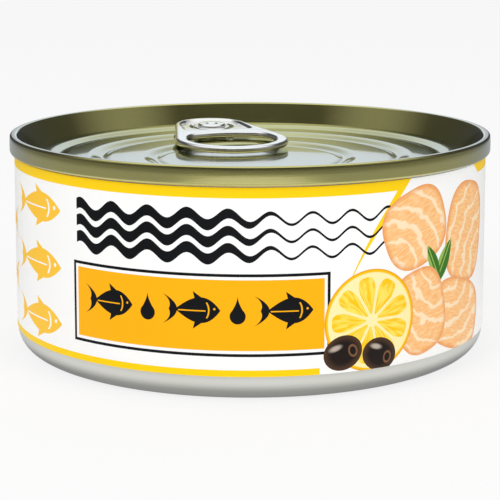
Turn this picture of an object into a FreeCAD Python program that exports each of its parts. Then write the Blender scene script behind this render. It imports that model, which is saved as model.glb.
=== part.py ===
"""A shut easy-open food can: a drawn cup, a stepped lid seamed on to it, a riveted pull tab and a paper
sleeve.  Millimetres, +Z up, origin on the can's axis at the plane it stands on.  -Y is the front."""
import FreeCAD, Part
import os
from math import atan2, cos, pi, sin

import Sketcher

# Every driving dimension: its name, its value in millimetres or degrees, and what it is.
DIMENSIONS = [
    ("rim_diameter", 87.3, "over the double seam, the widest part"),
    ("can_height", 39.3, "standing plane to the seam's crest"),
    ("sheet_thickness", 0.25, "tinplate of the lid"),
    # drawn cup
    ("seam_overhang", 0.95, "seam's face outside the bare wall below it"),
    ("wall_flare", 0.28, "bare wall's radius grows this much down to the standing plane"),
    ("base_corner_radius", 4.3, "rounded corner between wall and base"),
    ("foot_width", 1.8, "flat ring that the can stands on"),
    ("foot_slope", 1.6, "inner flank of the standing ring, across"),
    ("base_recess", 1.5, "base panel above the standing plane"),
    ("base_margin", 9.3, "flat of the base panel outside its stiffening step"),
    ("base_step_rise", 0.6, "height of that step"),
    # double seam
    ("seam_height", 3.3, "crest to the seam's lower edge"),
    ("seam_width", 1.25, "radial thickness of the rolled layers"),
    ("seam_lean", 0.08, "how far the upper face leans in"),
    ("seam_lean_height", 1.25, "height of the leaning upper face"),
    ("seam_crest_radius", 0.42, "rounding of the crest"),
    ("seam_edge_radius", 0.35, "rounding of the lower edge"),
    # lid
    ("chuck_slope", 1.85, "wall from the crest down to the countersink, across"),
    ("countersink_drop", 1.0, "countersink's bottom below the outermost ring of the panel"),
    ("countersink_width", 0.7, "flat bottom of the countersink"),
    ("shoulder_slope", 0.8, "inner flank of the countersink, across"),
    ("panel_depth", 3.75, "crest to the outermost ring of the panel"),
    ("outer_ring_width", 2.35, "flat of the panel outside the outer step"),
    ("middle_ring_width", 4.5, "flat between the outer and the middle step"),
    ("inner_ring_width", 6.5, "flat between the middle and the inner step"),
    ("step_drop", 0.45, "each ring of the panel lies this much lower"),
    ("step_width", 2.0, "each step, across"),
    ("groove_width", 1.2, "groove at the foot of each step, across"),
    ("groove_depth", 0.3, "depth of that groove"),
    ("panel_rounding", 0.9, "rounding of the panel's pressed corners"),
    # pull tab and its rivet
    ("tab_bearing", 105.0, "direction of the tab's nose, from +X"),
    ("tab_tilt", 2.15, "the ring end lies lower than the nose"),
    ("tab_clearance", 0.36, "tab's underside above the panel at the rivet"),
    ("tab_thickness", 1.3, "curled edge, top to bottom"),
    ("tab_edge_radius", 0.6, "rounding of the curled edge"),
    ("nose_setback", 2.15, "tip of the nose inside the edge of the panel"),
    ("nose_radius", 7.3, "outline round the nose"),
    ("ring_radius", 10.8, "outline round the finger ring"),
    ("ring_offset", 16.3, "centre of the ring from the rivet"),
    ("ring_band", 2.4, "width of the finger ring's band"),
    ("hole_flattening", 1.8, "far side of the finger hole falls short of a round one"),
    ("hole_far_radius", 16.0, "curve of that far side"),
    ("hole_corner_radius", 3.2, "corners of the finger hole"),
    ("web_border", 1.5, "raised border left round the pressed web"),
    ("web_bridge", 2.9, "band between the finger hole and the pressed web"),
    ("web_flare", 1.0, "each side of the web widens this much towards the ring"),
    ("web_depth", 0.5, "depth of the pressed web"),
    ("island_radius", 3.7, "inside of the slot that frees the rivet's tongue"),
    ("slot_width", 0.55, "width of that slot"),
    ("slot_sweep", 250.0, "how far the slot runs round the rivet"),
    ("rivet_stem_radius", 1.7, "rivet through the tab"),
    ("rivet_head_radius", 2.8, "flattened head of the rivet"),
    ("rivet_head_height", 0.55, "height of the head"),
    # paper sleeve
    ("paper_thickness", 0.13, "printed sleeve"),
    ("label_base", 4.6, "lower edge of the sleeve above the standing plane"),
    ("label_gap", 0.2, "sleeve's upper edge below the seam"),
    ("overlap_angle", 11.0, "glued overlap at the back of the sleeve"),
]

doc = FreeCAD.newDocument("FoodCan")
sheet = doc.addObject("Spreadsheet::Sheet", "Sizes")
for row, (alias, number, meaning) in enumerate(DIMENSIONS, start=1):
    sheet.set(f"A{row}", alias)
    sheet.set(f"B{row}", str(number))
    sheet.set(f"C{row}", meaning)
    sheet.setAlias(f"B{row}", alias)
doc.recompute()


def value(expression):
    """The number an expression on the sheet gives."""
    result = sheet.evalExpression(str(expression))
    return float(getattr(result, "Value", result))


def bind(thing, prop, expression):
    thing.setExpression(prop, expression)


def new_body(label):
    body = doc.addObject("PartDesign::Body", label)
    body.Label = label
    return body


def origin_plane(body, role):
    return next(plane for plane in body.Origin.OriginFeatures if plane.Role == role)


def new_sketch(body, name, role):
    sketch = body.newObject("Sketcher::SketchObject", name)
    sketch.AttachmentSupport = (origin_plane(body, role), "")
    sketch.MapMode = "FlatFace"
    return sketch


def fix(sketch, kind, first, second, expression):
    """One distance from the sketch's origin to a point, tied to the sheet."""
    index = sketch.addConstraint(
        Sketcher.Constraint(kind, -1, 1, first, second, value(expression)))
    bind(sketch, f"Constraints[{index}]", expression)


def place_point(sketch, geometry, position, across, up):
    """Holds a point at two expressions; a "0" keeps it on the axis."""
    for kind, axis, expression in (("DistanceX", -2, across), ("DistanceY", -1, up)):
        if expression == "0":
            sketch.addConstraint(
                Sketcher.Constraint("PointOnObject", geometry, position, axis))
        else:
            fix(sketch, kind, geometry, position, expression)


def hold_radius(sketch, geometry, expression):
    index = sketch.addConstraint(Sketcher.Constraint("Radius", geometry, value(expression)))
    bind(sketch, f"Constraints[{index}]", expression)


def arc_between(centre, radius, start, end, turn):
    """An arc from start to end, and the positions of its two ends in that order."""
    first, last = (start, end) if turn > 0 else (end, start)
    angles = [atan2(point.y - centre.y, point.x - centre.x) for point in (first, last)]
    circle = Part.Circle(centre, FreeCAD.Vector(0, 0, 1), radius)
    return Part.ArcOfCircle(circle, *angles), ((1, 2) if turn > 0 else (2, 1))


def outline(sketch, corners):
    """A closed outline through corners (across, up, rounding), all expressions; "0" is a sharp corner."""
    count = len(corners)
    points = [FreeCAD.Vector(value(across), value(up), 0) for across, up, _ in corners]
    rounds = []
    for i, point in enumerate(points):
        back = (points[i - 1] - point).normalize()
        on = (points[(i + 1) % count] - point).normalize()
        radius = value(corners[i][2])
        if not radius:
            rounds.append(None)
            continue
        reach = radius / FreeCAD.Vector(back).cross(on).Length * (1 + back.dot(on))
        centre = point + (back + on).normalize() * (radius**2 + reach**2) ** 0.5
        turn = -(back.cross(on)).z
        rounds.append((centre, radius, point + back * reach, point + on * reach, turn))
    lines = []
    for i, point in enumerate(points):
        here, there = rounds[i], rounds[(i + 1) % count]
        start = here[3] if here else point
        end = there[2] if there else points[(i + 1) % count]
        lines.append(sketch.addGeometry(Part.LineSegment(start, end), False))
    for i, (across, up, rounding) in enumerate(corners):
        before, after = lines[i - 1], lines[i]
        if not rounds[i]:
            sketch.addConstraint(Sketcher.Constraint("Coincident", before, 2, after, 1))
            place_point(sketch, after, 1, across, up)
            continue
        centre, radius, start, end, turn = rounds[i]
        curve, (first, last) = arc_between(centre, radius, start, end, turn)
        arc = sketch.addGeometry(curve, False)
        mark = sketch.addGeometry(Part.Point(points[i]), True)
        sketch.addConstraint([
            Sketcher.Constraint("Tangent", before, 2, arc, first),
            Sketcher.Constraint("Tangent", arc, last, after, 1),
            Sketcher.Constraint("PointOnObject", mark, 1, before),
            Sketcher.Constraint("PointOnObject", mark, 1, after),
        ])
        place_point(sketch, mark, 1, across, up)
        hold_radius(sketch, arc, rounding)


def turn_about_axis(body, name, corners, angle=None):
    """Turns a half section, in radius and height, about the can's axis."""
    sketch = new_sketch(body, f"{name}_section", "YZ_Plane" if angle else "XZ_Plane")
    outline(sketch, corners)
    feature = body.newObject("PartDesign::Revolution", name)
    feature.Profile = sketch
    feature.ReferenceAxis = (sketch, ["V_Axis"])
    if angle:
        bind(feature, "Angle", angle)
        feature.Midplane = True
    return feature


def depth(expression):
    """A height that is measured down from the crest."""
    return f"Sizes.can_height - ({expression})"


# ---- shapes that the lid and the cup share -------------------------------------------------------
NEARLY_FULL = 0.9    # a rounding that takes this share of the room it has
T = "Sizes.sheet_thickness"
ROUND = "Sizes.panel_rounding"
RIM = "Sizes.rim_diameter / 2"
SEAM_FOOT = "Sizes.can_height - Sizes.seam_height"
CHUCK_TOP = f"({RIM} - Sizes.seam_width)"
SINK_OUT = f"({CHUCK_TOP} - Sizes.chuck_slope)"
SINK_IN = f"({SINK_OUT} - Sizes.countersink_width)"
SINK_DEPTH = "(Sizes.panel_depth + Sizes.countersink_drop)"
SINK_ROUND = f"Sizes.countersink_width / 2 * {NEARLY_FULL}"
PANEL_EDGE = f"({SINK_IN} - Sizes.shoulder_slope)"
CHUCK_AT_SEAM = f"({SINK_OUT} + Sizes.chuck_slope * (1 - Sizes.seam_height / {SINK_DEPTH}))"
RINGS = ("Sizes.outer_ring_width", "Sizes.middle_ring_width", "Sizes.inner_ring_width")


def panel(offset):
    """The pressed panel from its centre out to the countersink, lowered by offset."""
    top, level = PANEL_EDGE, f"Sizes.panel_depth + {offset}"
    corners = [
        (SINK_IN, depth(f"{SINK_DEPTH} + {offset}"), SINK_ROUND),
        (PANEL_EDGE, depth(level), "Sizes.shoulder_slope / 2"),
    ]
    for ring_width in RINGS:
        top = f"({top} - {ring_width})"
        foot = f"({top} - Sizes.step_width)"
        groove = f"({foot} - Sizes.groove_width)"
        corners.append((top, depth(level), ROUND))
        level = f"{level} + Sizes.step_drop"
        corners += [
            (foot, depth(f"{level} + Sizes.groove_depth"), ROUND),
            (groove, depth(level), ROUND),
        ]
        top = groove
    return [("0", depth(level), "0")] + corners[::-1]


LID_TOP = panel("0") + [(SINK_OUT, depth(SINK_DEPTH), SINK_ROUND)]
LID_UNDERSIDE = panel(T) + [
    (f"{SINK_OUT} + {T}", depth(f"{SINK_DEPTH} + {T}"), SINK_ROUND),
    (f"{CHUCK_AT_SEAM} + {T}", SEAM_FOOT, "0"),
]

# ---- drawn cup: solid up to the underside of the lid, because a shut can isn't seen into ---------
WALL_TOP = f"({RIM} - Sizes.seam_overhang)"
WALL_BASE = f"({WALL_TOP} + Sizes.wall_flare)"
FOOT_OUT = f"({WALL_BASE} - Sizes.base_corner_radius)"
FOOT_IN = f"({FOOT_OUT} - Sizes.foot_width)"
BASE_EDGE = f"({FOOT_IN} - Sizes.foot_slope)"
BASE_STEP = f"({BASE_EDGE} - Sizes.base_margin)"
BASE_TOP = "Sizes.base_recess + Sizes.base_step_rise"

can_body = new_body("can_body")
turn_about_axis(can_body, "cup", [
    ("0", BASE_TOP, "0"),
    (f"{BASE_STEP} - Sizes.step_width", BASE_TOP, ROUND),
    (BASE_STEP, "Sizes.base_recess", ROUND),
    (BASE_EDGE, "Sizes.base_recess", "Sizes.foot_slope / 2"),
    (FOOT_IN, "0", "Sizes.foot_slope / 2"),
    (WALL_BASE, "0", "Sizes.base_corner_radius"),
    (WALL_TOP, SEAM_FOOT, "0"),
] + LID_UNDERSIDE[::-1])

# ---- lid: panel, countersink, chuck wall and the double seam rolled with the cup's edge ----------
lid = new_body("lid")
turn_about_axis(lid, "formed_sheet", LID_TOP + [
    (CHUCK_TOP, "Sizes.can_height", "Sizes.seam_crest_radius"),
    (f"{RIM} - Sizes.seam_lean", "Sizes.can_height", "Sizes.seam_crest_radius"),
    (RIM, depth("Sizes.seam_lean_height"), "0"),
    (RIM, SEAM_FOOT, "Sizes.seam_edge_radius"),
] + LID_UNDERSIDE[::-1])

# ---- pull tab: modelled flat about its rivet, +X towards the nose, then set on the lid ------------
TAB_BASE = depth("Sizes.panel_depth + Sizes.step_drop - Sizes.tab_clearance")
RIVET_OFFSET = f"({PANEL_EDGE} - Sizes.nose_setback - Sizes.nose_radius)"
TAB_PLACE = (f"placement(vector({RIVET_OFFSET} * cos(Sizes.tab_bearing * 1deg);"
             f" {RIVET_OFFSET} * sin(Sizes.tab_bearing * 1deg);"
             f" {TAB_BASE});"
             " rotation(Sizes.tab_bearing; -Sizes.tab_tilt; 0))")
T_TAB = "Sizes.tab_thickness"
HOLE_NEAR = "(Sizes.ring_radius - Sizes.ring_band)"
HOLE_REACH = f"({HOLE_NEAR} - Sizes.hole_flattening)"

pull_tab = new_body("pull_tab")
bind(pull_tab, "Placement", TAB_PLACE)


def blank_outline(sketch):
    """Two arcs, about the rivet and about the ring's centre, joined by the lines that touch both."""
    nose, ring, offset = (value(f"Sizes.{name}") for name in ("nose_radius", "ring_radius", "ring_offset"))
    lean = (ring - nose) / offset
    across = (1 - lean**2) ** 0.5
    away = FreeCAD.Vector(lean, across, 0)
    middle = FreeCAD.Vector(-offset, 0, 0)
    touch = [(away * nose, middle + away * ring)]
    touch.append(tuple(FreeCAD.Vector(point.x, -point.y, 0) for point in touch[0]))
    nose_arc, _ = arc_between(FreeCAD.Vector(0, 0, 0), nose, touch[1][0], touch[0][0], 1)
    ring_arc, _ = arc_between(middle, ring, touch[0][1], touch[1][1], 1)
    front, left, back, right = sketch.addGeometry([
        nose_arc, Part.LineSegment(*touch[0]), ring_arc, Part.LineSegment(touch[1][1], touch[1][0])], False)
    sketch.addConstraint([
        Sketcher.Constraint("Tangent", front, 2, left, 1),
        Sketcher.Constraint("Tangent", left, 2, back, 1),
        Sketcher.Constraint("Tangent", back, 2, right, 1),
        Sketcher.Constraint("Tangent", right, 2, front, 1),
        Sketcher.Constraint("Coincident", front, 3, -1, 1),
        Sketcher.Constraint("PointOnObject", back, 3, -1),
    ])
    hold_radius(sketch, front, "Sizes.nose_radius")
    hold_radius(sketch, back, "Sizes.ring_radius")
    fix(sketch, "DistanceX", back, 3, "-Sizes.ring_offset")


def hole_outline(sketch):
    """The finger hole: round like the ring, with a flatter side towards the nose and rounded corners."""
    offset, far, corner = (value(f"Sizes.{name}") for name in
                           ("ring_offset", "hole_far_radius", "hole_corner_radius"))
    near, reach = value(HOLE_NEAR), value(HOLE_REACH)
    middle = FreeCAD.Vector(-offset, 0, 0)
    far_middle = FreeCAD.Vector(-offset + reach - far, 0, 0)
    span = far - reach
    along = (span**2 + (near - corner) ** 2 - (far - corner) ** 2) / (2 * span)
    corner_middle = middle + FreeCAD.Vector(-along, ((near - corner) ** 2 - along**2) ** 0.5, 0)
    on_near = middle + (corner_middle - middle).normalize() * near
    on_far = far_middle + (corner_middle - far_middle).normalize() * far

    def below(point):
        return FreeCAD.Vector(point.x, -point.y, 0)

    curves = [
        arc_between(middle, near, on_near, below(on_near), 1)[0],
        arc_between(below(corner_middle), corner, below(on_near), below(on_far), 1)[0],
        arc_between(far_middle, far, below(on_far), on_far, 1)[0],
        arc_between(corner_middle, corner, on_far, on_near, 1)[0],
    ]
    arcs = sketch.addGeometry(curves, False)
    for before, after in zip(arcs, arcs[1:] + arcs[:1]):
        sketch.addConstraint(Sketcher.Constraint("Tangent", before, 2, after, 1))
    hold_radius(sketch, arcs[0], HOLE_NEAR)
    hold_radius(sketch, arcs[1], "Sizes.hole_corner_radius")
    hold_radius(sketch, arcs[2], "Sizes.hole_far_radius")
    hold_radius(sketch, arcs[3], "Sizes.hole_corner_radius")
    for arc, expression in ((arcs[0], "-Sizes.ring_offset"),
                            (arcs[2], f"-Sizes.ring_offset + {HOLE_REACH} - Sizes.hole_far_radius")):
        sketch.addConstraint(Sketcher.Constraint("PointOnObject", arc, 3, -1))
        fix(sketch, "DistanceX", arc, 3, expression)


def slot_outline(sketch):
    """A C-shaped slot round the rivet, open towards the nose, where the tongue bends."""
    inner, width, sweep = (value(f"Sizes.{name}") for name in ("island_radius", "slot_width", "slot_sweep"))
    outer = inner + width
    half = sweep / 360 * pi
    origin = FreeCAD.Vector(0, 0, 0)

    def at(radius, angle):
        return FreeCAD.Vector(radius * cos(angle), radius * sin(angle), 0)

    start, end = pi - half, pi + half
    middle = inner + width / 2
    curves = [
        arc_between(origin, outer, at(outer, start), at(outer, end), 1)[0],
        arc_between(at(middle, end), width / 2, at(outer, end), at(inner, end), 1)[0],
        arc_between(origin, inner, at(inner, start), at(inner, end), 1)[0],
        arc_between(at(middle, start), width / 2, at(inner, start), at(outer, start), 1)[0],
    ]
    outside, end_cap, inside, start_cap = sketch.addGeometry(curves, False)
    sketch.addConstraint([
        Sketcher.Constraint("Tangent", outside, 2, end_cap, 1),
        Sketcher.Constraint("Tangent", end_cap, 2, inside, 2),
        Sketcher.Constraint("Tangent", inside, 1, start_cap, 1),
        Sketcher.Constraint("Tangent", start_cap, 2, outside, 1),
        Sketcher.Constraint("Coincident", outside, 3, -1, 1),
        Sketcher.Constraint("Symmetric", outside, 1, outside, 2, -1),
    ])
    hold_radius(sketch, inside, "Sizes.island_radius")
    hold_radius(sketch, outside, "Sizes.island_radius + Sizes.slot_width")
    index = sketch.addConstraint(Sketcher.Constraint("Angle", outside, sweep / 180 * pi))
    bind(sketch, f"Constraints[{index}]", "Sizes.slot_sweep * 1deg")


def circle_outline(sketch, radius):
    circle = Part.Circle(FreeCAD.Vector(0, 0, 0), FreeCAD.Vector(0, 0, 1), value(radius))
    ring = sketch.addGeometry(circle, False)
    sketch.addConstraint(Sketcher.Constraint("Coincident", ring, 3, -1, 1))
    hold_radius(sketch, ring, radius)


def cut(body, name, draw, height=None, down_to=None):
    """A pocket drawn on the body's base plane, or at a height, cut through or down to a depth."""
    sketch = new_sketch(body, f"{name}_outline", "XY_Plane")
    if height:
        bind(sketch, "AttachmentOffset.Base.z", height)
    draw(sketch)
    before = body.Tip.Shape.Volume
    pocket = body.newObject("PartDesign::Pocket", name)
    pocket.Profile = sketch
    if down_to:
        pocket.Type = "Length"
        bind(pocket, "Length", down_to)
    else:
        pocket.Type = "ThroughAll"
        pocket.Midplane = True
    doc.recompute()
    if not pocket.Shape.Volume < before:
        raise RuntimeError(f"{name} cuts nothing")
    return pocket


blank = new_sketch(pull_tab, "blank_outline", "XY_Plane")
blank_outline(blank)
plate = pull_tab.newObject("PartDesign::Pad", "plate")
plate.Profile = blank
bind(plate, "Length", T_TAB)
doc.recompute()
finger_hole = cut(pull_tab, "finger_hole", hole_outline)
flat_edges = [f"Edge{i}" for i, edge in enumerate(finger_hole.Shape.Edges, start=1)
              if edge.BoundBox.ZLength < 1e-6]
curl = pull_tab.newObject("PartDesign::Fillet", "curled_edges")
curl.Base = (finger_hole, flat_edges)
bind(curl, "Radius", f"min(Sizes.tab_edge_radius; {T_TAB} / 2 * 0.95)")
doc.recompute()
HALF_NOSE = "(Sizes.nose_radius - Sizes.web_border)"
WEB_BACK = f"-Sizes.ring_offset + {HOLE_REACH} + Sizes.web_bridge"
cut(pull_tab, "pressed_web", lambda sketch: outline(sketch, [
    (HALF_NOSE, f"-{HALF_NOSE}", f"{HALF_NOSE} * {NEARLY_FULL}"),
    (HALF_NOSE, HALF_NOSE, f"{HALF_NOSE} * {NEARLY_FULL}"),
    (WEB_BACK, f"{HALF_NOSE} + Sizes.web_flare", "Sizes.web_border"),
    (WEB_BACK, f"-{HALF_NOSE} - Sizes.web_flare", "Sizes.web_border"),
]), T_TAB, "Sizes.web_depth")
cut(pull_tab, "tongue_slot", slot_outline)
cut(pull_tab, "rivet_hole", lambda sketch: circle_outline(sketch, "Sizes.rivet_stem_radius"))

# ---- the rivet, drawn up from the lid's own sheet through the tab and flattened -------------------
rivet_section = new_sketch(lid, "rivet_section", "XY_Plane")
bind(rivet_section, "AttachmentOffset", f"{TAB_PLACE} * placement(vector(0; 0; 0); rotation(0; 0; 90))")
BOSS_FOOT = f"-Sizes.tab_clearance - {T} / 2"
TONGUE_TOP = f"{T_TAB} - Sizes.web_depth"
outline(rivet_section, [
    ("0", BOSS_FOOT, "0"),
    ("Sizes.rivet_head_radius", BOSS_FOOT, "0"),
    ("Sizes.rivet_head_radius", "0", "0"),
    ("Sizes.rivet_stem_radius", "0", "0"),
    ("Sizes.rivet_stem_radius", TONGUE_TOP, "0"),
    ("Sizes.rivet_head_radius", TONGUE_TOP, "0"),
    ("Sizes.rivet_head_radius", f"{TONGUE_TOP} + Sizes.rivet_head_height",
     f"Sizes.rivet_head_height * {NEARLY_FULL}"),
    ("0", f"{TONGUE_TOP} + Sizes.rivet_head_height", "0"),
])
rivet = lid.newObject("PartDesign::Revolution", "rivet")
rivet.Profile = rivet_section
rivet.ReferenceAxis = (rivet_section, ["V_Axis"])

# ---- paper sleeve on the cup's wall, with its glued overlap at the back --------------------------
LABEL_TOP = f"{SEAM_FOOT} - Sizes.label_gap"


def wall_at(height):
    return f"({WALL_BASE} + ({WALL_TOP} - {WALL_BASE}) * ({height}) / ({SEAM_FOOT}))"


def sleeve(inner, outer):
    """Section of one layer of paper, laid against the tapering wall."""
    return [
        (f"{wall_at('Sizes.label_base')} + {inner}", "Sizes.label_base", "0"),
        (f"{wall_at('Sizes.label_base')} + {outer}", "Sizes.label_base", "0"),
        (f"{wall_at(LABEL_TOP)} + {outer}", LABEL_TOP, "0"),
        (f"{wall_at(LABEL_TOP)} + {inner}", LABEL_TOP, "0"),
    ]


label = new_body("label")
turn_about_axis(label, "wrap", sleeve("0", "Sizes.paper_thickness"))
turn_about_axis(label, "overlap", sleeve("Sizes.paper_thickness / 2", "Sizes.paper_thickness * 2"),
                "Sizes.overlap_angle * 1deg")

# ---- check the document, then write one file for each sub-part -----------------------------------
doc.recompute()
for thing in doc.Objects:
    if "Invalid" in thing.State or "Error" in thing.State:
        raise RuntimeError(f"{thing.Label} failed: {thing.State}")
sub_parts = [can_body, lid, pull_tab, label]
for part in sub_parts:
    if part.Shape.isNull() or not part.Shape.isValid() or len(part.Shape.Solids) != 1:
        raise RuntimeError(f"{part.Label} isn't one valid solid")
os.makedirs("parts", exist_ok=True)
for part in sub_parts:
    part.Shape.exportStep(f"parts/{part.Label}.step")
    box = part.Shape.BoundBox
    print(f"{part.Label}: {part.Shape.Volume:.1f} mm3, z {box.ZMin:.2f} to {box.ZMax:.2f},"
          f" x {box.XMin:.2f} to {box.XMax:.2f}, y {box.YMin:.2f} to {box.YMax:.2f}")
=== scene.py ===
import math

import bmesh
import bpy
from mathutils import Euler, Matrix, Vector


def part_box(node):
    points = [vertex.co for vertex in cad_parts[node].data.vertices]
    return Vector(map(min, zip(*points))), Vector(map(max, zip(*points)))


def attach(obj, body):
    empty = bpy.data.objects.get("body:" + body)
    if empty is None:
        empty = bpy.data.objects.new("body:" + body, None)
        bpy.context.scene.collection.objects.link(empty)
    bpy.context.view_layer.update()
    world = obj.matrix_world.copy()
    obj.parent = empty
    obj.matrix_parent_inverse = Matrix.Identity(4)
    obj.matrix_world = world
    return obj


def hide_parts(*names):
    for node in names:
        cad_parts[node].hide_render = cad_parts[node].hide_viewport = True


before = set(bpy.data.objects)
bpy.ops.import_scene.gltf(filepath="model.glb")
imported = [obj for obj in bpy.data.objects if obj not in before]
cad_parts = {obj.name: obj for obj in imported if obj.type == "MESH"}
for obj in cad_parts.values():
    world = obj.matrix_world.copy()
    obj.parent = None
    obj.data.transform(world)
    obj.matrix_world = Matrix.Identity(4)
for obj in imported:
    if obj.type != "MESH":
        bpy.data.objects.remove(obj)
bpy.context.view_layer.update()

bpy.context.scene.view_settings.view_transform = "Standard"

# ---- The cup ----------------------------------------------------------------------------------------
# A shallow drawn can of bare tinplate, left uncoated outside. It stands on a narrow flat ring, turns up
# round a soft corner, and its wall leans in very slightly to the seam. It is turned from its section.

MM = 0.001


def operator_for(operation, reflected=False):
    """A Python operator that adds one Math node to its field's tree."""
    def operator(field, other):
        first, second = (other, field) if reflected else (field, other)
        return field.tree.maths(operation, first, second)
    return operator


class Field:
    """A socket in a node tree; sums written on it become Math nodes in that tree."""

    def __init__(self, tree, socket):
        self.tree, self.socket = tree, socket

    def __abs__(self):
        return self.tree.maths("ABSOLUTE", self)

    def __neg__(self):
        return self * -1.0

    __add__ = __radd__ = operator_for("ADD")
    __sub__ = operator_for("SUBTRACT")
    __rsub__ = operator_for("SUBTRACT", reflected=True)
    __mul__ = __rmul__ = operator_for("MULTIPLY")
    __truediv__ = operator_for("DIVIDE")
    __rtruediv__ = operator_for("DIVIDE", reflected=True)
    __mod__ = operator_for("FLOORED_MODULO")
    __pow__ = operator_for("POWER")
    __lt__ = operator_for("LESS_THAN")
    __gt__ = operator_for("GREATER_THAN")
    __and__ = operator_for("MULTIPLY")
    __or__ = operator_for("MAXIMUM")


class Tree:
    """Adds nodes to a material's or a geometry tree."""

    def __init__(self, nodes):
        self.nodes, self.links = nodes.nodes, nodes.links

    def node(self, kind, settings=None, sockets=None, out=0):
        """One node: its settings go in first, then its sockets' values or links; gives one output."""
        made = self.nodes.new(kind)
        for name, setting in (settings or {}).items():
            setattr(made, name, setting)
        for name, given in (sockets or {}).items():
            socket = self.find(made.inputs, name)
            if isinstance(given, Field):
                self.links.new(given.socket, socket)
            else:
                socket.default_value = given
        return Field(self, self.find(made.outputs, out)) if len(made.outputs) else made

    @staticmethod
    def find(sockets, name):
        if isinstance(name, int):
            return sockets[name]
        return next(s for s in sockets if name in (s.identifier, s.name))

    def maths(self, operation, *values):
        return self.node("ShaderNodeMath", {"operation": operation}, dict(enumerate(values)))

    def sine(self, angle):
        return self.maths("SINE", angle)

    def blend(self, low, high, share):
        """From colour low to colour high; both may be plain tuples."""
        return self.node("ShaderNodeMix", {"data_type": "RGBA"},
                         {"Factor_Float": share, "A_Color": low, "B_Color": high}, "Result_Color")

    def step(self, amount, start, end, low=0.0, high=1.0):
        """Rises smoothly from low to high as amount goes from start to end."""
        return self.node("ShaderNodeMapRange", {"interpolation_type": "SMOOTHSTEP"}, {
            "Value": amount, "From Min": start, "From Max": end, "To Min": low, "To Max": high})

    def noise(self, place, scale, detail=2.0, roughness=0.5):
        return self.node("ShaderNodeTexNoise", None,
                         {"Vector": place, "Scale": scale, "Detail": detail, "Roughness": roughness})


class Finish(Tree):
    """A material under construction; shine() adds its Principled shader and joins it to the output."""

    def __init__(self, name):
        self.material = bpy.data.materials.new(name)
        self.material.use_nodes = True
        super().__init__(self.material.node_tree)
        self.nodes.clear()
        self.place = self.node("ShaderNodeTexCoord", out="Object")

    def stretched(self, scale):
        """Object coordinates stretched by three factors, for a grain that runs one way."""
        return self.node("ShaderNodeMapping", None, {"Vector": self.place, "Scale": scale})

    def around(self):
        """Bearing from the front in radians, distance from the axis and height in millimetres."""
        parts = self.node("ShaderNodeSeparateXYZ", None, {0: self.place})
        x, y, z = (Field(self, s) for s in parts.socket.node.outputs)
        radius = self.maths("SQRT", x * x + y * y) * (1 / MM)
        return self.maths("ARCTAN2", x, -y), radius, z * (1 / MM)

    def round_grain(self, around_scale, up_scale):
        """A grain that runs round the can's axis, as forming rolls leave it."""
        bearing, radius, height = self.around()
        place = self.node("ShaderNodeCombineXYZ", None, {
            "X": bearing * around_scale, "Y": radius * up_scale, "Z": height * up_scale})
        return self.noise(place, 1.0, 3.0, 0.6)

    def shine(self, colour, roughness, relief, depth, uniform):
        """Ends the finish: uniform holds what is the same all over, set on the shader itself."""
        bump = self.node("ShaderNodeBump", None, {"Height": relief, "Distance": depth, "Strength": 1.0})
        shader = self.node("ShaderNodeBsdfPrincipled", None, {
            "Base Color": colour, "Roughness": roughness, "Normal": bump, **uniform})
        self.node("ShaderNodeOutputMaterial", None, {"Surface": shader})
        return self.material


def bare_tinplate():
    finish = Finish("bare_tinplate")
    grain = finish.round_grain(9.0, 5.0)
    cloud = finish.noise(finish.place, 45.0)
    tone = finish.blend((0.66, 0.66, 0.60, 1), (0.78, 0.78, 0.74, 1), grain * 0.6 + cloud * 0.4)
    return finish.shine(tone, 0.26 + grain * 0.12, grain, 0.008 * MM, {
        "Metallic": 1.0, "Specular Tint": (0.72, 0.74, 0.76, 1)})


POLE_MERGE = 0.001 * MM      # closes the seam and the poles of a turned surface
POINT_MERGE = 0.0005 * MM    # joins loose triangles at their corners


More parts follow.
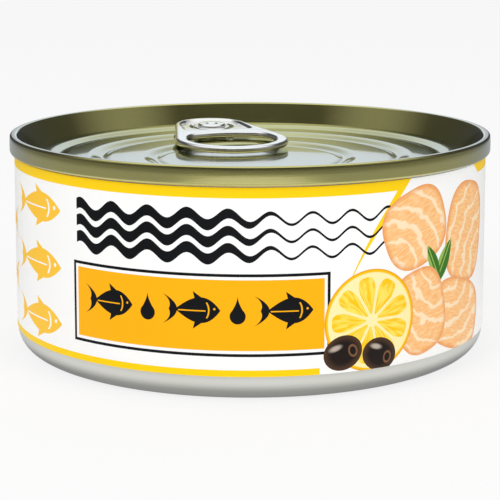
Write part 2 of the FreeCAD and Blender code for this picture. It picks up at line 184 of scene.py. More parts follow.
def turning_tree():
    """A geometry tree that rounds the corners of a section and turns it about Z into a closed surface."""
    group = bpy.data.node_groups.new("turned_about_axis", "GeometryNodeTree")
    for name, kind in (("Section", "Geometry"), ("Turn Steps", "Int"),
                       ("Rounding Steps", "Int"), ("Finish", "Material")):
        group.interface.new_socket(name, in_out="INPUT", socket_type=f"NodeSocket{kind}")
    group.interface.new_socket("Turned", in_out="OUTPUT", socket_type="NodeSocketGeometry")
    tree = Tree(group)
    section = tree.node("NodeGroupInput", out="Section")
    given = {s.name: Field(tree, s) for s in section.socket.node.outputs if s.name}
    rounding = tree.node("GeometryNodeInputNamedAttribute", {"data_type": "FLOAT"}, {"Name": "rounding"})
    curve = tree.node("GeometryNodeMeshToCurve", None, {"Mesh": section})
    curve = tree.node("GeometryNodeFilletCurve", {"mode": "POLY"}, {
        "Curve": curve, "Count": given["Rounding Steps"], "Radius": rounding, "Limit Radius": True})
    points = tree.node("GeometryNodeCurveToPoints", {"mode": "EVALUATED"}, {"Curve": curve})
    count = tree.node("GeometryNodeAttributeDomainSize", {"component": "POINTCLOUD"},
                      {"Geometry": points}, "Point Count")
    rows = given["Turn Steps"] + 1.0
    grid = tree.node("GeometryNodeMeshGrid", None, {
        "Size X": 1.0, "Size Y": 1.0, "Vertices X": count, "Vertices Y": rows})
    index = tree.node("GeometryNodeInputIndex")
    column = tree.maths("FLOOR", (index + 0.5) / rows)
    angle = (index - column * rows) * math.tau / given["Turn Steps"]
    corner = tree.node("GeometryNodeSampleIndex", {"data_type": "FLOAT_VECTOR", "domain": "POINT"}, {
        "Geometry": points, "Value": tree.node("GeometryNodeInputPosition"), "Index": column})
    split = tree.node("ShaderNodeSeparateXYZ", None, {0: corner}).socket.node.outputs
    radius, height = Field(tree, split[0]), Field(tree, split[2])
    place = tree.node("ShaderNodeCombineXYZ", None, {
        "X": radius * tree.sine(angle), "Y": -(radius * tree.maths("COSINE", angle)), "Z": height})
    turned = tree.node("GeometryNodeSetPosition", None, {"Geometry": grid, "Position": place})
    turned = tree.node("GeometryNodeMergeByDistance", None, {"Geometry": turned, "Distance": POLE_MERGE})
    turned = tree.node("GeometryNodeSetShadeSmooth", None, {"Geometry": turned, "Shade Smooth": True})
    turned = tree.node("GeometryNodeRealizeInstances", None, {"Geometry": turned})
    turned = tree.node("GeometryNodeSetMaterial", None, {"Geometry": turned, "Material": given["Finish"]})
    tree.node("NodeGroupOutput", None, {"Turned": turned})
    return group


TURNING = turning_tree()


def new_piece(name, mesh):
    piece = bpy.data.objects.new(name, mesh)
    bpy.context.scene.collection.objects.link(piece)
    return piece


def made_plain(piece):
    """Turns a piece with live modifiers into a plain mesh."""
    seen = piece.evaluated_get(bpy.context.evaluated_depsgraph_get())
    mesh = bpy.data.meshes.new_from_object(seen)
    piece.modifiers.clear()
    piece.data = mesh


def face_outwards(piece):
    """Joins points that lie together and turns every face outwards."""
    work = bmesh.new()
    work.from_mesh(piece.data)
    bmesh.ops.remove_doubles(work, verts=work.verts, dist=POINT_MERGE)
    bmesh.ops.recalc_face_normals(work, faces=work.faces)
    work.to_mesh(piece.data)
    work.free()


FACE_WEIGHT = 80


def flats_stay_flat(piece):
    """Shading normals follow the larger faces, so that the roundings take up the turn."""
    weighing = piece.modifiers.new("weighing", "WEIGHTED_NORMAL")
    weighing.keep_sharp, weighing.weight = True, FACE_WEIGHT
    made_plain(piece)


def turned(name, corners, material, turn_steps=256, rounding_steps=6):
    """Turns a section, corners of (radius, height, rounding) in millimetres, about the can's axis."""
    mesh = bpy.data.meshes.new(name)
    mesh.from_pydata([(radius * MM, 0, height * MM) for radius, height, _ in corners],
                     [(i, i + 1) for i in range(len(corners) - 1)], [])
    rounding = mesh.attributes.new("rounding", "FLOAT", "POINT")
    for item, (_, _, radius) in zip(rounding.data, corners):
        item.value = radius * MM
    piece = new_piece(name, mesh)
    turning = piece.modifiers.new("turning", "NODES")
    turning.node_group = TURNING
    values = {"Turn Steps": turn_steps, "Rounding Steps": rounding_steps, "Finish": material}
    for item in TURNING.interface.items_tree:
        if item.in_out == "INPUT" and item.name in values:
            turning[item.identifier] = values[item.name]
    made_plain(piece)
    piece.data.materials.clear()    # the tree leaves an empty slot before the finish
    piece.data.materials.append(material)
    face_outwards(piece)
    flats_stay_flat(piece)
    return piece


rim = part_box("lid")[1].x / MM
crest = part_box("lid")[1].z / MM
seam_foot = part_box("can_body")[1].z / MM
seam_overhang, wall_flare = 0.95, 0.28
wall_top = rim - seam_overhang
wall_base = wall_top + wall_flare
corner_radius, foot_width, foot_slope = 4.3, 1.8, 1.6
base_recess, base_margin, base_step_rise = 1.5, 9.3, 0.6
step_width, pressed_rounding = 2.0, 0.9
foot_out = wall_base - corner_radius
foot_in = foot_out - foot_width
base_edge = foot_in - foot_slope
base_step = base_edge - base_margin
lip_width, fill_drop = 1.0, 4.0    # the cup is closed off inside, out of sight under the lid

cup = turned("cup", [
    (0, base_recess + base_step_rise, 0),
    (base_step - step_width, base_recess + base_step_rise, pressed_rounding),
    (base_step, base_recess, pressed_rounding),
    (base_edge, base_recess, foot_slope / 2),
    (foot_in, 0, foot_slope / 2),
    (wall_base, 0, corner_radius),
    (wall_top, seam_foot, 0),
    (wall_top - lip_width, seam_foot, 0),
    (wall_top - lip_width, seam_foot - fill_drop, 0),
    (0, seam_foot - fill_drop, 0),
], bare_tinplate(), rounding_steps=10)
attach(cup, "root")
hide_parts("can_body")

# ---- The paper sleeve -------------------------------------------------------------------------------
# Coated white paper wrapped round the wall, printed in yellow, orange and black, and glued with a narrow
# overlap at the back. Its print is laid out in millimetres: along the sleeve from the front, and up.

paper_thickness, label_base, label_gap = 0.13, 4.6, 0.2
label_top = seam_foot - label_gap
PRINT_RADIUS = 43.0    # at which the print's widths are measured


def srgb(red, green, blue):
    """A printed colour from its everyday 0 to 255 values."""
    return tuple(c / 255 / 12.92 if c < 10.3 else ((c / 255 + 0.055) / 1.055) ** 2.4
                 for c in (red, green, blue)) + (1.0,)


class Print(Finish):
    """A finish that lays printed shapes over one another."""

    def __init__(self, name, paper):
        super().__init__(name)
        bearing, _, self.up = self.around()
        self.along = bearing * PRINT_RADIUS
        self.colour = paper

    def lay(self, colour, mask):
        """Prints a colour, or a worked out tone, over what is there."""
        self.colour = self.blend(self.colour, colour, mask)

    def shape(self, centre, size, turn=0.0, at=None):
        """Distances across and up a shape, 1 at its half width and half height."""
        along, up = at or (self.along, self.up)
        cos, sin = math.cos(math.radians(turn)), math.sin(math.radians(turn))
        across, rise = along - centre[0], up - centre[1]
        if turn:
            across, rise = across * cos + rise * sin, rise * cos - across * sin
        return across / size[0], rise / size[1]

    def apart(self, across, rise):
        """Distance from a shape's middle."""
        return self.maths("SQRT", across * across + rise * rise)

    def band(self, amount, low, high):
        return (amount > low) & (amount < high)

    def box(self, left, right, low, high, along=None):
        return self.band(along or self.along, left, right) & self.band(self.up, low, high)

    def streaks(self, along, up):
        """A soft mottle, drawn out where along and up run at different rates."""
        return self.noise(self.node("ShaderNodeCombineXYZ", None, {"X": along, "Y": up}), 1.0)

    def fish(self, centre, size, at):
        """A plain fish facing right: a full head, a crescent tail, two swept fins, an eye and a gill."""
        across, up = self.shape(centre, size, at=at)
        rise = abs(up)
        body = rise < (1.0 - across * across) * (1.0 + across * 0.3)
        fins = (across < 0.98 - rise * 0.79) & (across > 0.01 - rise * 0.14) & (rise > 0.5)
        hollow = -0.90 - rise * rise * 0.45
        tail = (across < hollow) & (across > hollow - (1.2 - rise) * 0.32) & (rise < 1.2)
        gill = (abs(across - 0.5 + rise * rise * 0.25) < 0.035) & (rise < 0.62)
        side_line = (abs(up + 0.05) < 0.05) & self.band(across, -0.85, 0.36)
        eye = self.apart(across - 0.74, (up - 0.12) * (size[1] / size[0])) < 0.05
        return (body | fins | tail) & (1.0 - (gill | side_line | eye))

    def drop(self, centre, size, at):
        """A drop of oil: a round foot drawn up into a point."""
        across, up = self.shape(centre, (size, size), at=at)
        point = self.band(up, 0.35, 2.6) & (abs(across) < ((2.6 - up) / 2.25) ** 1.7 * 0.94)
        return (self.apart(across, up) < 1.0) | point


YELLOW, DEEP_YELLOW = srgb(255, 211, 0), srgb(255, 180, 0)
BLACK, PALE_YELLOW = srgb(12, 14, 18), srgb(255, 200, 52)
PAPER_WHITE = srgb(250, 250, 249)

LOWER_STRIPE, UPPER_STRIPE = 5.7, 34.05
LOWER_STRIPE_ENDS, LOWER_STRIPE_RESUMES = 13.0, 60.0
UPPER_STRIPE_RESUMES, UPPER_STRIPE_SLANT = 48.4, 1.5
ARC_FOOT, ARC_START, ARC_LEAN, ARC_BEND = 20.0, 16.9, 0.47, 0.012
ARC_FINE, ARC_BROAD, ARC_TAIL = 0.15, 1.4, 18.0
LAP = 0.1    # by which one printed shape runs over its neighbour


def stripes(sheet):
    """Bands round both edges, broken beside the front by the picture, and an arc that runs down from one."""
    along, up = sheet.along, sheet.up
    fall = up - ARC_FOOT
    beside_arc = along - ARC_START - fall * ARC_LEAN - fall * fall * ARC_BEND
    arc_width = sheet.step(up, ARC_FOOT, UPPER_STRIPE, ARC_FINE, ARC_BROAD)
    arc = sheet.band(beside_arc, -LAP, arc_width) & sheet.band(up, ARC_TAIL, UPPER_STRIPE + LAP)
    resumes = along > UPPER_STRIPE_RESUMES + (label_top - up) * UPPER_STRIPE_SLANT
    upper = (up > UPPER_STRIPE) & ((beside_arc < arc_width) | resumes)
    lower = (up < LOWER_STRIPE) & ((along < LOWER_STRIPE_ENDS) | (along > LOWER_STRIPE_RESUMES))
    sheet.lay(YELLOW, upper | lower | arc)


FISH_PITCH, FISH_COLUMN, FISH_SIZE = 9.8, 22.0, (7.0, 2.5)
SCHOOL_START, SCHOOL_BASE, SCHOOL_TOP = -98.0, 4.9, 34.3
THREE_COLUMNS, LONE_COLUMN = (SCHOOL_START, SCHOOL_START + FISH_COLUMN * 3), (56.0, 78.0)


def school_of_fish(sheet):
    """Columns of fish on both flanks; every second column faces back and is set half a step higher."""
    along, up = sheet.along, sheet.up
    number = sheet.maths("FLOOR", (along - SCHOOL_START) / FISH_COLUMN)
    odd = number % 2.0
    across = ((along - SCHOOL_START) % FISH_COLUMN - FISH_COLUMN / 2) * (1.0 - odd * 2.0)
    base = SCHOOL_BASE + odd * (FISH_PITCH / 2)
    rise = (up - base) % FISH_PITCH - FISH_PITCH / 2
    rows = (up > base) & (up < SCHOOL_TOP - odd * (FISH_PITCH / 2))
    columns = sheet.band(along, *THREE_COLUMNS) | sheet.band(along, *LONE_COLUMN)
    sheet.lay(PALE_YELLOW, rows & columns & sheet.fish((0.0, 0.0), FISH_SIZE, (across, rise)))


PANEL_LEFT, PANEL_RIGHT, PANEL_LOW, PANEL_HIGH = -32.5, 13.3, 7.95, 21.7
FRAME_LINE, FRAME_GAP = 0.5, 1.0
REAR_STARTS, REAR_PANEL = 70.0, 115.6
WAVE_PITCH, WAVE_SWELL, WAVE_RATE = 2.8, 0.95, 0.92
WAVES_LOW, WAVES_HIGH, WAVES_INSET, WAVES_END, REAR_WAVES_SHORTER = 23.65, 32.05, 0.8, 31.0, 8.0
HEAVY_LINE, FINE_LINE, LINE_THINS = 0.92, 0.22, (-7.0, 7.0)
MOTIF_STEP, MOTIF_FISH, MOTIF_FISH_SIZE = 15.2, (8.7, 15.6), (3.8, 2.1)
MOTIF_DROP, MOTIF_DROP_SIZE, DROPS_SPAN = (6.6, 14.7), 1.3, (-24.0, 2.0)


def waves_and_panel(sheet):
    """Three running waves, heavy at the left and fine at the right, over a framed panel of fish and oil."""
    up = sheet.up
    behind = sheet.along > REAR_STARTS
    along = sheet.along - behind * REAR_PANEL

    def panel_less(margin):
        return sheet.box(PANEL_LEFT + margin, PANEL_RIGHT - margin,
                         PANEL_LOW + margin, PANEL_HIGH - margin, along)

    sheet.lay(DEEP_YELLOW, panel_less(FRAME_GAP))
    line = panel_less(0.0) & (1.0 - panel_less(FRAME_LINE))
    swell = sheet.sine((along - PANEL_LEFT) * WAVE_RATE) * WAVE_SWELL
    row = (up - swell - WAVES_LOW) % WAVE_PITCH
    weight = sheet.step(along, *LINE_THINS, HEAVY_LINE, FINE_LINE)
    span = sheet.band(along, PANEL_LEFT + WAVES_INSET, WAVES_END - behind * REAR_WAVES_SHORTER)
    waves = (abs(row - WAVE_PITCH / 2) < weight) & span & sheet.band(up - swell, WAVES_LOW, WAVES_HIGH)
    place = ((along - PANEL_LEFT) % MOTIF_STEP, up)
    fish = sheet.fish(MOTIF_FISH, MOTIF_FISH_SIZE, place) & sheet.band(along, PANEL_LEFT, PANEL_RIGHT)
    drop_place = ((along - PANEL_LEFT - MOTIF_FISH[0]) % MOTIF_STEP, up)
    drops = sheet.drop(MOTIF_DROP, MOTIF_DROP_SIZE, drop_place) & sheet.band(along, *DROPS_SPAN)
    sheet.lay(BLACK, line | waves | fish | drops)


def leaf(sheet, centre, size, turn):
    """A pointed leaf with a paler midrib and upper side."""
    across, up = sheet.shape(centre, size, turn)
    green = sheet.blend(srgb(58, 118, 34), srgb(150, 186, 84), (abs(up) < 0.1) | (up > 0.4))
    sheet.lay(green, (across * across + abs(up)) < 1.0)


def cooked_piece(sheet, centre, size, turn, focus, wobble):
    """A rounded piece of cooked fish with paler arcs where its flakes part."""
    across, up = sheet.shape(centre, size, turn)
    edge = abs(across) ** 2.7 + abs(up) ** 2.7
    flakes = sheet.sine((sheet.apart(across - focus[0], up - focus[1]) + wobble * 0.55) * 15.0)
    fibre = sheet.streaks(across * 4.0, up * 22.0)
    flesh = sheet.blend(srgb(252, 186, 116), srgb(255, 208, 150), sheet.step(fibre, 0.35, 0.65))
    flesh = sheet.blend(flesh, srgb(255, 230, 192), sheet.step(flakes, 0.45, 0.95))
    flesh = sheet.blend(flesh, srgb(236, 148, 76), sheet.step(edge, 0.6, 1.0) * 0.75)
    sheet.lay(flesh, edge < 1.0)


def citrus_wheel(sheet, centre, radius, segments, at):
    """A round slice of lemon; its segments are one wedge repeated round the middle."""
    across, up = sheet.shape(centre, (radius, radius), at=at)
    out = sheet.apart(across, up)
    bearing = sheet.maths("ARCTAN2", up, across)
    part = math.tau / segments
    turn = bearing % part - part / 2
    bow = turn * 2.4
    wedge = (out * (part / 2 - abs(turn)) > 0.028) & sheet.band(out, 0.13, 0.855 - bow * bow * bow * bow)
    juicy = sheet.blend(srgb(255, 200, 8), srgb(255, 228, 96),
                        sheet.step(sheet.streaks(bearing * 9.0, out * 3.0), 0.38, 0.62))
    rind = sheet.blend(srgb(255, 198, 0), srgb(236, 158, 0), sheet.step(out, 0.95, 1.0))
    slice_colour = sheet.blend(rind, srgb(255, 240, 176), out < 0.935)
    sheet.lay(sheet.blend(slice_colour, juicy, wedge), out < 1.0)


def dark_olive(sheet, centre, size, turn, at):
    """A stoned black olive with a soft shine and its dimple."""
    across, up = sheet.shape(centre, size, turn, at)
    out = sheet.apart(across, up)
    shine = sheet.step(sheet.apart((across + 0.3) * 2.2, (up - 0.42) * 4.4), 1.0, 0.3) * 0.75
    skin = sheet.blend(srgb(30, 20, 16), srgb(84, 58, 40), sheet.step(out, 0.55, 1.0) * 0.8)
    skin = sheet.blend(skin, srgb(210, 196, 180), shine)
    dimple = sheet.band(sheet.apart((across - 0.5) * 2.6, (up + 0.1) * 1.6), 0.4, 0.62)
    sheet.lay(sheet.blend(skin, srgb(120, 84, 56), dimple), out < 1.0)


# middle, half sizes, turn in degrees, and the point that each piece's flakes curve round
COOKED_PIECES = (
    ((45.6, 24.6), (7.6, 8.8), -10.0, (1.0, -0.7)),
    ((30.4, 27.4), (7.4, 6.6), 20.0, (-1.0, -0.6)),
    ((42.6, 10.6), (9.2, 6.2), -16.0, (-0.9, 1.1)),
    ((31.6, 13.0), (6.2, 7.4), 14.0, (0.9, 1.0)),
)
LEAVES = (((37.2, 20.4), (4.6, 1.5), 58.0), ((34.6, 20.8), (3.6, 1.2), 118.0))
LEMON, LEMON_RADIUS, LEMON_SEGMENTS = (20.9, 12.9), 8.6, 9
OLIVES = (((15.6, 7.9), (3.5, 2.9), 18.0), ((22.4, 7.0), (3.3, 2.8), -14.0))
CLEARING, CLEARING_EDGE, CLEARING_SLANT = (11.5, 58.0, 0.0, 20.5), 29.0, 0.62
REAR_PICTURE, REAR_PICTURE_RISE, REAR_PICTURE_ENDS = -132.9, 6.5, -95.0


def printed_paper():
    """The whole print, from the paper up; the lemon and the olives come again at the back."""
    sheet = Print("printed_paper", PAPER_WHITE)
    along, up = sheet.along, sheet.up
    wobble = sheet.streaks(along * 0.3, up * 0.3)
    stripes(sheet)
    school_of_fish(sheet)
    waves_and_panel(sheet)
    slant = along > CLEARING_EDGE + (up - UPPER_STRIPE) * CLEARING_SLANT
    sheet.lay(PAPER_WHITE, sheet.box(*CLEARING) & slant)
    for number, (centre, size, turn, focus) in enumerate(COOKED_PIECES):
        cooked_piece(sheet, centre, size, turn, focus, wobble)
        if number == 1:
            for place in LEAVES:
                leaf(sheet, *place)
    behind = along < REAR_PICTURE_ENDS
    picture = (along - behind * REAR_PICTURE, up - behind * REAR_PICTURE_RISE)
    citrus_wheel(sheet, LEMON, LEMON_RADIUS, LEMON_SEGMENTS, picture)
    for centre, size, turn in OLIVES:
        dark_olive(sheet, centre, size, turn, picture)
    sheen = sheet.noise(sheet.stretched((1400, 1400, 500)), 1.0, 3.0)
    return sheet.shine(sheet.colour, 0.36 + sheen * 0.1, sheen, 0.004 * MM, {"Specular IOR Level": 0.18})


def wall_at(height):
    """The cup's radius at a height."""
    return wall_base + (wall_top - wall_base) * height / seam_foot


def sleeve_section(inner, outer):
    """The paper's section, from inner to outer out from the wall, as a closed loop."""
    low, high = wall_at(label_base), wall_at(label_top)
    return [(low + inner, label_base, 0), (low + outer, label_base, 0),
            (high + outer, label_top, 0), (high + inner, label_top, 0), (low + inner, label_base, 0)]


PAPER = printed_paper()
sleeve = turned("label_sleeve", sleeve_section(0.0, paper_thickness), PAPER)
overlap_sweep, overlap_steps = math.radians(11.0), 12


def overlap_flap():
    """The free end of the paper, one layer more, bedded on the sleeve at the back."""
    section = sleeve_section(paper_thickness / 2, paper_thickness * 2)[:-1]
    sides = len(section)
    points, faces = [], []
    for i in range(overlap_steps + 1):
        bearing = math.pi / 2 + (i / overlap_steps - 0.5) * overlap_sweep
        points += [(r * math.cos(bearing) * MM, r * math.sin(bearing) * MM, z * MM) for r, z, _ in section]
    for i in range(overlap_steps):
        for j in range(sides):
            a, b = i * sides + j, i * sides + (j + 1) % sides
            faces.append((a, b, b + sides, a + sides))
    faces += [tuple(range(sides)), tuple(overlap_steps * sides + j for j in range(sides))]
    mesh = bpy.data.meshes.new("label_overlap")
    mesh.from_pydata(points, [], faces)
    mesh.materials.append(PAPER)
    piece = new_piece("label_overlap", mesh)
    face_outwards(piece)
    return piece


overlap = overlap_flap()
for paper in (sleeve, overlap):
    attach(paper, "root")
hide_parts("label")

# ---- The lid and its seam ---------------------------------------------------------------------------
# Tinplate with a clear gold-olive lacquer, pressed into three rings that step down to the middle, and
# rolled together with the edge of the cup into the double seam that stands up as the rim.

sheet_thickness, seam_width, seam_lean, seam_lean_height = 0.25, 1.25, 0.08, 1.25
seam_swell = 16.0    # the seam's face turns upright over this large radius
crest_rounding, seam_edge_rounding = 0.42, 0.6
chuck_slope, countersink_drop, countersink_width, shoulder_slope = 1.85, 1.0, 0.7, 0.8
panel_depth, step_drop, groove_width, groove_depth = 3.75, 0.45, 1.2, 0.3
ring_widths = (2.35, 4.5, 6.5)
ring_rounding, groove_rounding = 4.0, 2.0
chuck_top = rim - seam_width
sink_out = chuck_top - chuck_slope
sink_in = sink_out - countersink_width
sink_depth = panel_depth + countersink_drop
sink_rounding = countersink_width * 0.45
panel_edge = sink_in - shoulder_slope


def panel_section(offset):
    """The pressed panel from its centre out to the countersink, lowered by offset."""
    top, level = panel_edge, panel_depth + offset
    corners = [(sink_in, crest - sink_depth - offset, sink_rounding),
               (panel_edge, crest - level, shoulder_slope / 2)]
    for ring_width in ring_widths:
        top -= ring_width
        corners.append((top, crest - level, ring_rounding))
        level += step_drop
        foot = top - step_width
        corners += [(foot, crest - level - groove_depth, groove_rounding),
                    (foot - groove_width, crest - level, ring_rounding)]
        top = foot - groove_width
    return [(0, crest - level, 0)] + corners[::-1]


def lacquered_steel():
    """The lacquer's grain runs straight over the panel, as rolled, and round the seam, as formed."""
    finish = Finish("lacquered_steel")
    rolled = finish.noise(finish.stretched((90, 2600, 900)), 1.0, 3.0, 0.6)
    formed = finish.round_grain(7.0, 6.0)
    _, radius, _ = finish.around()
    seam = finish.step(radius, sink_out, chuck_top)
    grain = rolled * (1.0 - seam) + formed * seam
    cloud = finish.noise(finish.place, 60.0)
    tone = finish.blend(srgb(186, 181, 96), srgb(214, 209, 124), grain * 0.7 + cloud * 0.3)
    return finish.shine(tone, 0.13 + grain * 0.09, grain, 0.004 * MM, {
        "Metallic": 1.0, "Specular Tint": (0.62, 0.70, 0.95, 1),
        "Coat Weight": 1.0, "Coat Roughness": 0.04, "Coat IOR": 1.85})


LACQUER = lacquered_steel()
chuck_at_seam = sink_out + chuck_slope * (1 - (crest - seam_foot) / sink_depth)
lid = turned("lid_and_seam", panel_section(0.0) + [
    (sink_out, crest - sink_depth, sink_rounding),
    (chuck_top, crest, crest_rounding),
    (rim - seam_lean, crest, crest_rounding),
    (rim, crest - seam_lean_height, seam_swell),
    (rim, seam_foot, seam_edge_rounding),
    (chuck_at_seam + sheet_thickness, seam_foot, 0),
    (sink_out + sheet_thickness, crest - sink_depth - sheet_thickness, sink_rounding),
] + panel_section(sheet_thickness)[::-1], LACQUER, rounding_steps=8)
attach(lid, "root")
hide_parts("lid")

# ---- The pull tab and its rivet ---------------------------------------------------------------------
# Bright plated steel, its edges curled under all round and round the finger hole. The rivet is drawn up
# from the lid's own sheet and flattened over the tab's tongue, which burnishes it bright.

tab_bearing, tab_tilt = math.radians(105.0), math.radians(-2.15)
tab_thickness, web_depth, tab_clearance = 1.3, 0.5, 0.36
nose_radius, nose_setback = 7.3, 2.15
stem_radius, head_radius, head_height = 1.7, 2.8, 0.55
rivet_offset = panel_edge - nose_setback - nose_radius
tab_level = crest - panel_depth - step_drop + tab_clearance
tab_place = (Matrix.Translation(Vector((rivet_offset * math.cos(tab_bearing),
                                        rivet_offset * math.sin(tab_bearing), tab_level)) * MM)
             @ Euler((0, tab_tilt, tab_bearing)).to_matrix().to_4x4())


def bright_steel():
    """Plated and polished, with fine drawn lines and faint worn patches."""
    finish = Finish("bright_steel")
    fine = finish.noise(finish.stretched((700, 500, 900)), 1.0, 4.0, 0.65)
    worn = finish.step(finish.noise(finish.place, 420.0, 3.0), 0.56, 0.72)
    tone = finish.blend((0.88, 0.88, 0.86, 1), (0.96, 0.955, 0.935, 1), fine)
    return finish.shine(tone, 0.14 + fine * 0.08 + worn * 0.1, fine + worn * 0.3, 0.006 * MM,
                        {"Metallic": 1.0})


skin_size, easing_share, easing_rounds = 0.13, 0.5, 40


def pull_tab():
    """The tab's own solid, drawn over with a fine skin so that its curled edges and web run soft."""
    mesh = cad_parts["pull_tab"].data.copy()
    mesh.name = "tab"
    piece = new_piece("tab", mesh)
    face_outwards(piece)
    skin = piece.modifiers.new("skin", "REMESH")
    skin.mode, skin.voxel_size, skin.use_smooth_shade = "VOXEL", skin_size * MM, True
    easing = piece.modifiers.new("easing", "SMOOTH")
    easing.factor, easing.iterations = easing_share, easing_rounds
    made_plain(piece)
    piece.data.materials.clear()
    piece.data.materials.append(bright_steel())
    return piece


tab = pull_tab()
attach(tab, "root")
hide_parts("pull_tab")

tongue_top = tab_thickness - web_depth
head_top = tongue_top + head_height
boss_foot = -tab_clearance - sheet_thickness / 2
dimple_edge, dimple_radius = head_radius * 0.45, head_radius * 0.3
dimple_floor = tongue_top + head_height * 0.6
rivet = turned("rivet", [
    (0, boss_foot, 0),
    (head_radius, boss_foot, 0),
    (head_radius, 0, 0),
    (stem_radius, 0, 0),
    (stem_radius, tongue_top, 0),
    (head_radius, tongue_top, 0),
    (head_radius, head_top, head_height * 0.9),
    (dimple_edge, head_top, 0.5),
    (dimple_radius, dimple_floor, 0.3),
    (0, dimple_floor, 0),
], tab.data.materials[0], turn_steps=64)
rivet.data.transform(tab_place)
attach(rivet, "root")

# ---- The studio -------------------------------------------------------------------------------------
# A pale floor in a soft even light. Metal mirrors a white sheet behind the can, a lamp overhead, a pool of
# light painted on the floor before it, painted light and shade round its foot, and a darker room all round.

FLOOR_SIZE = 6.0
FLOOR_DROP = 0.02 * MM    # keeps the floor off the standing ring's own plane
# how bright metal finds the floor, all painted light, and between which distances, in metres, that fades
FLOOR_NEAR, FLOOR_FAR, FLOOR_FADE = 0.42, 0.2, (0.30, 0.45)
# painted light on the floor round the can, for metal to mirror
PAINTED_LIGHT_AT_CAN, PAINTED_LIGHT_AT_CAN_FADE = 0.95, (0.055, 0.13)
# painted shade on the floor right under the foot, for metal to mirror
PAINTED_SHADE_UNDER_FOOT, PAINTED_SHADE_UNDER_FOOT_FADE = 0.05, (0.0385, 0.047)
# a painted pool of light on the floor before the can, for metal to mirror
PAINTED_POOL, PAINTED_POOL_FORWARD, PAINTED_POOL_FADE = 1.0, 0.2, (0.07, 0.16)
FLOOR_GREY, SEEN_WHITE, SEEN_THROUGH_WHITE = (0.86, 0.86, 0.86, 1), 0.8, 0.85


def pale_floor():
    """White to the camera bar a soft shadow; painted light and shade to metal; clear from below to show the
    base.
    """
    finish = Finish("pale_floor")
    rays = finish.node("ShaderNodeLightPath", out="Is Camera Ray").socket.node.outputs
    camera, glossy, clear = (Field(finish, rays[n]) for n in
                             ("Is Camera Ray", "Is Glossy Ray", "Is Transmission Ray"))
    parts = finish.node("ShaderNodeSeparateXYZ", None, {0: finish.place}).socket.node.outputs
    side, forward = Field(finish, parts[0]), Field(finish, parts[1])
    away = finish.maths("SQRT", side * side + forward * forward)
    from_painted_pool = finish.maths("SQRT", side * side + (forward + PAINTED_POOL_FORWARD) ** 2.0)
    # painted light on the floor round the can, turned to painted shade right under its foot
    painted_light_and_shade_at_can = (finish.step(away, *PAINTED_LIGHT_AT_CAN_FADE, PAINTED_LIGHT_AT_CAN, 0.0)
                 & finish.step(away, *PAINTED_SHADE_UNDER_FOOT_FADE, PAINTED_SHADE_UNDER_FOOT))
    # a painted pool of light on the floor before the can
    pool = finish.step(from_painted_pool, *PAINTED_POOL_FADE, PAINTED_POOL, 0.0)
    # painted light that metal finds in the floor, fading with distance, with the painted ring, shade and
    # pool
    painted_floor_light = finish.step(away, *FLOOR_FADE, FLOOR_NEAR, FLOOR_FAR) | painted_light_and_shade_at_can | pool
    matt = finish.node("ShaderNodeBsdfDiffuse", None, {"Color": FLOOR_GREY})
    strength = camera | clear | (glossy * painted_floor_light)
    white = finish.node("ShaderNodeEmission", None, {"Color": (1, 1, 1, 1), "Strength": strength})
    share = (camera * SEEN_WHITE) | glossy | (clear * SEEN_THROUGH_WHITE)
    mixed = finish.node("ShaderNodeMixShader", None, {0: share, 1: matt, 2: white})
    from_below = camera & finish.node("ShaderNodeNewGeometry", out="Backfacing")
    mixed = finish.node("ShaderNodeMixShader", None, {
        0: from_below, 1: mixed, 2: finish.node("ShaderNodeBsdfTransparent")})
    finish.node("ShaderNodeOutputMaterial", None, {"Surface": mixed})
    return finish.material


floor_mesh = bpy.data.meshes.new("floor")
reach = FLOOR_SIZE / 2
floor_corners = [(-reach, -reach), (reach, -reach), (reach, reach), (-reach, reach)]
floor_mesh.from_pydata([(*corner, -FLOOR_DROP) for corner in floor_corners], [], [(0, 1, 2, 3)])
floor_mesh.materials.append(pale_floor())
floor = new_piece("floor", floor_mesh)

ROOM, FLANKS, EVEN_LIGHT = 0.07, 0.32, 0.68
SHEET_SIDES, SHEET_DEPTH, OVERHEAD = (0.25, 0.06), (-0.05, 0.25), (0.62, 0.80)
FLANK_SIDES, FLANK_RISE, FLANK_DEPTH = (0.45, 0.85), (0.08, 0.32), (0.6, -0.2)
SHEET_COLOUR = (0.89, 0.95, 1.0, 1)


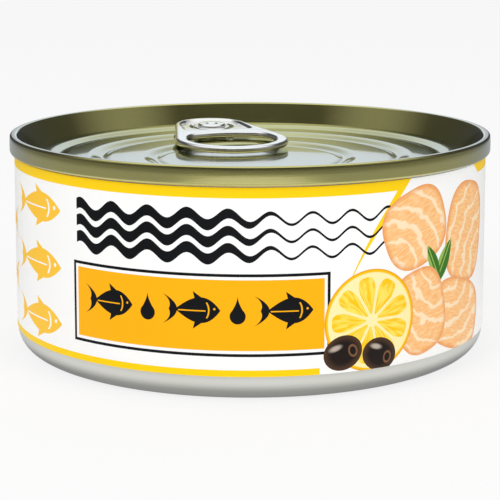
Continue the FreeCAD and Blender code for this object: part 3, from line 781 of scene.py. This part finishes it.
def surround():
    """Even light for all that is matt, white to the camera, and the room for what is polished."""
    world = bpy.data.worlds.new("surround")
    bpy.context.scene.world = world
    world.use_nodes = True
    tree = Tree(world.node_tree)
    tree.nodes.clear()
    rays = tree.node("ShaderNodeLightPath", out="Is Camera Ray").socket.node.outputs
    direction = tree.node("ShaderNodeTexCoord", out="Generated")
    parts = tree.node("ShaderNodeSeparateXYZ", None, {0: direction}).socket.node.outputs
    side, forward, rise = (Field(tree, part) for part in parts)
    sheet = tree.step(abs(side), *SHEET_SIDES) & tree.step(forward, *SHEET_DEPTH)
    overhead = tree.step(rise, *OVERHEAD)
    flanks = (tree.step(abs(side), *FLANK_SIDES) & tree.step(rise, *FLANK_RISE)
              & tree.step(forward, *FLANK_DEPTH))
    room = ((sheet | overhead) * (1 - ROOM) + ROOM) | (flanks * FLANKS)
    camera, glossy = Field(tree, rays["Is Camera Ray"]), Field(tree, rays["Is Glossy Ray"])
    strength = camera | (glossy * room) | ((1.0 - camera) & (1.0 - glossy)) * EVEN_LIGHT
    cool = tree.blend((1, 1, 1, 1), SHEET_COLOUR, glossy & sheet)
    light = tree.node("ShaderNodeBackground", None, {"Color": cool, "Strength": strength})
    tree.node("ShaderNodeOutputWorld", None, {"Surface": light})


surround()
lamp_size, lamp_aim = 0.6, Vector((0, 0, 0.02))
for name, place, power in (("key_lamp", Vector((-0.55, -0.75, 0.75)), 4.6),
                           ("fill_lamp", Vector((0.7, -0.6, 0.5)), 2.6)):
    lamp = bpy.data.lights.new(name, "AREA")
    lamp.shape, lamp.size, lamp.energy = "SQUARE", lamp_size, power
    holder = new_piece(name, lamp)
    holder.location = place
    holder.rotation_euler = (lamp_aim - place).to_track_quat("-Z", "Y").to_euler()
    holder.visible_glossy = False

camera_back, camera_height, camera_dip = 316.46 * MM, 81.99 * MM, math.radians(11.63)
sensor_width, lens_length = 36.0, 125.4
camera = bpy.data.cameras.new("camera")
camera.sensor_width, camera.lens = sensor_width, lens_length
camera.clip_start = 0.01
viewpoint = new_piece("camera", camera)
viewpoint.location = (0, -camera_back, camera_height)
viewpoint.rotation_euler = (math.pi / 2 - camera_dip, 0, 0)
bpy.context.scene.camera = viewpoint
